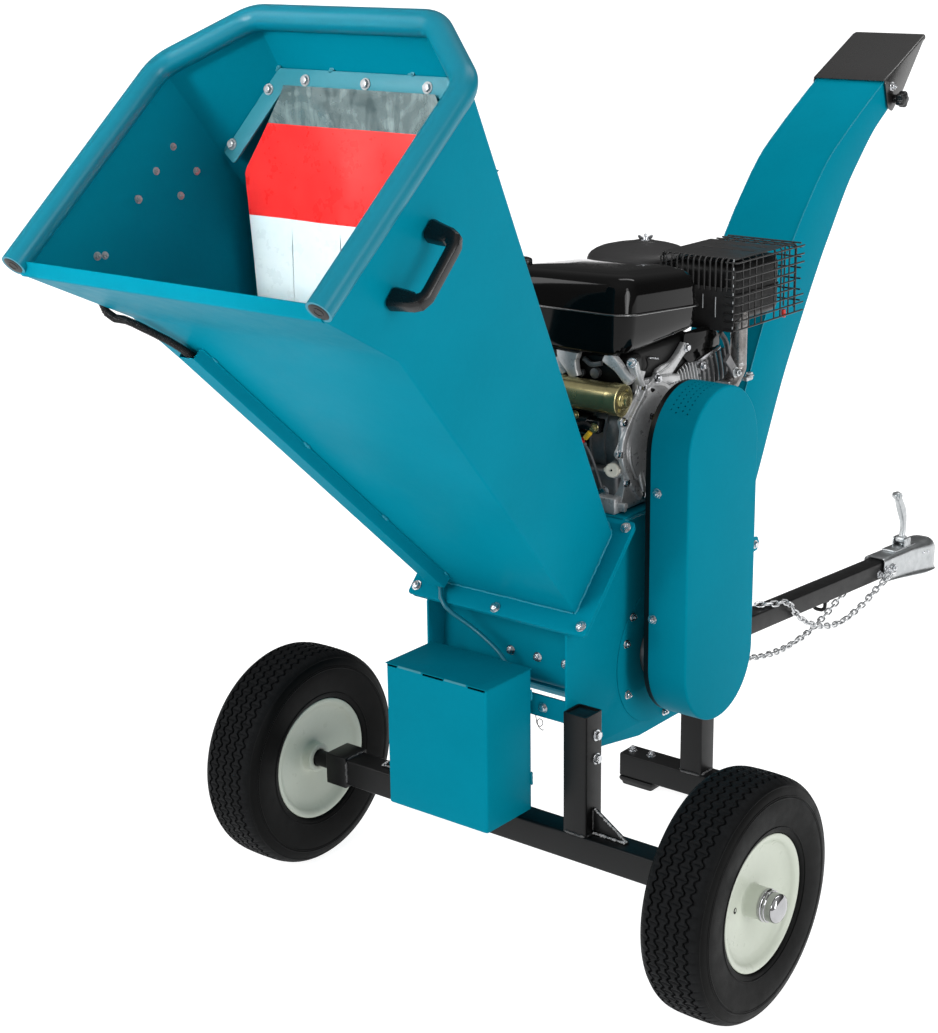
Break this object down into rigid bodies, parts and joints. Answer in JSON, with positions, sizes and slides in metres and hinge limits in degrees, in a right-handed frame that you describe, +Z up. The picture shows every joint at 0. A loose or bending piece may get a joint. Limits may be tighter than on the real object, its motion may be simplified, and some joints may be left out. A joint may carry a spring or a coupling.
{
  "type": "garden shredder",
  "caption": "Towable petrol wood chipper: tall feed hopper with curtain, belt-driven rotor housing, curved discharge chute, axle with pneumatic tyres, tow bar with ball coupler.",
  "frame": {"origin": "middle of the machine's footprint, on the ground", "axes": "+Z up; +Y from the feed hopper towards the tow coupler; +X along the axle towards the belt cover"},
  "size_m": [1.123, 2.3644, 1.5955],
  "materials": {
    "teal_paint": "satin powder coat",
    "black_paint": "satin black powder coat",
    "gloss_black": "gloss black enamel",
    "heat_black": "matt heat-proof black",
    "cream_paint": "semi-gloss cream",
    "tyre_rubber": "satin tyre rubber",
    "rubber": "satin rubber",
    "chrome": "bright chrome",
    "zinc": "bright zinc plate",
    "yellow_zinc": "yellow zinc plate",
    "cast_aluminium": "as-cast, blasted",
    "steel": "machined steel",
    "black_plastic": "moulded, fine grain",
    "curtain_vinyl": "red and white flexible vinyl"
  },
  "bodies": {
    "wheel_left": {"tyre_left": "tyre_rubber", "rim_left": "cream_paint", "hub_cap_left": "chrome"},
    "wheel_right": {"tyre_right": "tyre_rubber", "rim_right": "cream_paint", "hub_cap_right": "chrome"},
    "rotor": {"rotor": "steel", "rotor_blade_a": "steel", "rotor_blade_b": "steel", "rotor_pulley": "steel"},
    "crank": {"engine_pulley": "steel"},
    "deflector": {"chute_deflector": "black_paint"},
    "clamp_knob": {"deflector_knob": "black_plastic"},
    "coupler_lever": {"coupler_lever": "zinc"},
    "battery_lid": {"battery_lid": "teal_paint"},
    "curtain": {"hopper_curtain": "curtain_vinyl"},
    "fuel_cap": {"fuel_cap": "black_plastic"},
    "start_key": {"start_key": "black_plastic"},
    "machine": {"air_cleaner": "black_plastic", "axle": "black_paint", "battery": "black_plastic", "battery_box": "teal_paint", "bed_knife": "steel", "belt_back_plate": "black_paint", "belt_cover": "teal_paint", "cable_channel": "teal_paint", "chute": "teal_paint", "coupler_body": "zinc", "crankcase": "cast_aluminium", "cross_bar": "teal_paint", "curtain_bar": "teal_paint", "cylinder_head": "cast_aluminium", "drive_belt": "rubber", "engine_deck": "teal_paint", "foot_pad_left": "rubber", "foot_pad_right": "rubber", "fuel_tank": "gloss_black", "handle_left": "black_plastic", "handle_right": "black_plastic", "hopper_rail": "teal_paint", "hopper_shell": "teal_paint", "inlet_throat": "teal_paint", "muffler": "heat_black", "muffler_guard": "heat_black", "post_left": "black_paint", "post_right": "black_paint", "recoil_cover": "gloss_black", "recoil_grip": "black_plastic", "rotor_bearing_left": "steel", "rotor_bearing_right": "steel", "rotor_casing": "teal_paint", "safety_chain_left": "zinc", "safety_chain_right": "zinc", "side_plate_left": "teal_paint", "side_plate_right": "teal_paint", "start_lead": "rubber", "starter_motor": "yellow_zinc", "switch_box": "black_plastic", "tow_bar": "black_paint", "tow_stand": "black_paint"}
  },
  "joints": [
    {"name": "wheel_left_spin", "type": "hinge", "parent": "machine", "child": "wheel_left", "pos_m": [-0.475, -0.4378, 0.205], "axis": [1, 0, 0], "continuous": true},
    {"name": "wheel_right_spin", "type": "hinge", "parent": "machine", "child": "wheel_right", "pos_m": [0.475, -0.4378, 0.205], "axis": [1, 0, 0], "continuous": true},
    {"name": "rotor_spin", "type": "hinge", "parent": "machine", "child": "rotor", "pos_m": [0, -0.1778, 0.478], "axis": [1, 0, 0], "continuous": true},
    {"name": "crank_spin", "type": "hinge", "parent": "machine", "child": "crank", "pos_m": [0, -0.1758, 0.855], "axis": [1, 0, 0], "continuous": true},
    {"name": "deflector_tilt", "type": "hinge", "parent": "machine", "child": "deflector", "pos_m": [0, 0.7482, 1.366], "axis": [1, 0, 0], "range_deg": [-35, 5]},
    {"name": "knob_turn", "type": "hinge", "parent": "deflector", "child": "clamp_knob", "pos_m": [0.081, 0.7592, 1.342], "axis": [1, 0, 0], "continuous": true},
    {"name": "lever_tilt", "type": "hinge", "parent": "machine", "child": "coupler_lever", "pos_m": [0, 1.05599, 0.32772], "axis": [1, 0, 0], "range_deg": [0, 60]},
    {"name": "lid_hinge", "type": "hinge", "parent": "machine", "child": "battery_lid", "pos_m": [0, -0.5778, 0.5074], "axis": [1, 0, 0], "range_deg": [0, 95]},
    {"name": "curtain_swing", "type": "hinge", "parent": "machine", "child": "curtain", "pos_m": [0, -0.7598, 1.462], "axis": [1, 0, 0], "range_deg": [-4, 13]},
    {"name": "fuel_cap_turn", "type": "hinge", "parent": "machine", "child": "fuel_cap", "pos_m": [-0.122, -0.2128, 1.1313], "axis": [0, 0, 1], "range_deg": [0, 90]},
    {"name": "key_turn", "type": "hinge", "parent": "machine", "child": "start_key", "pos_m": [-0.33182, -0.88084, 1.34469], "axis": [-0.9893, 0.0842, -0.1192], "range_deg": [0, 60]}
  ],
  "couplings": [
    {"joint": "crank_spin", "follows": "rotor_spin", "ratio": 1.4344}
  ]
}
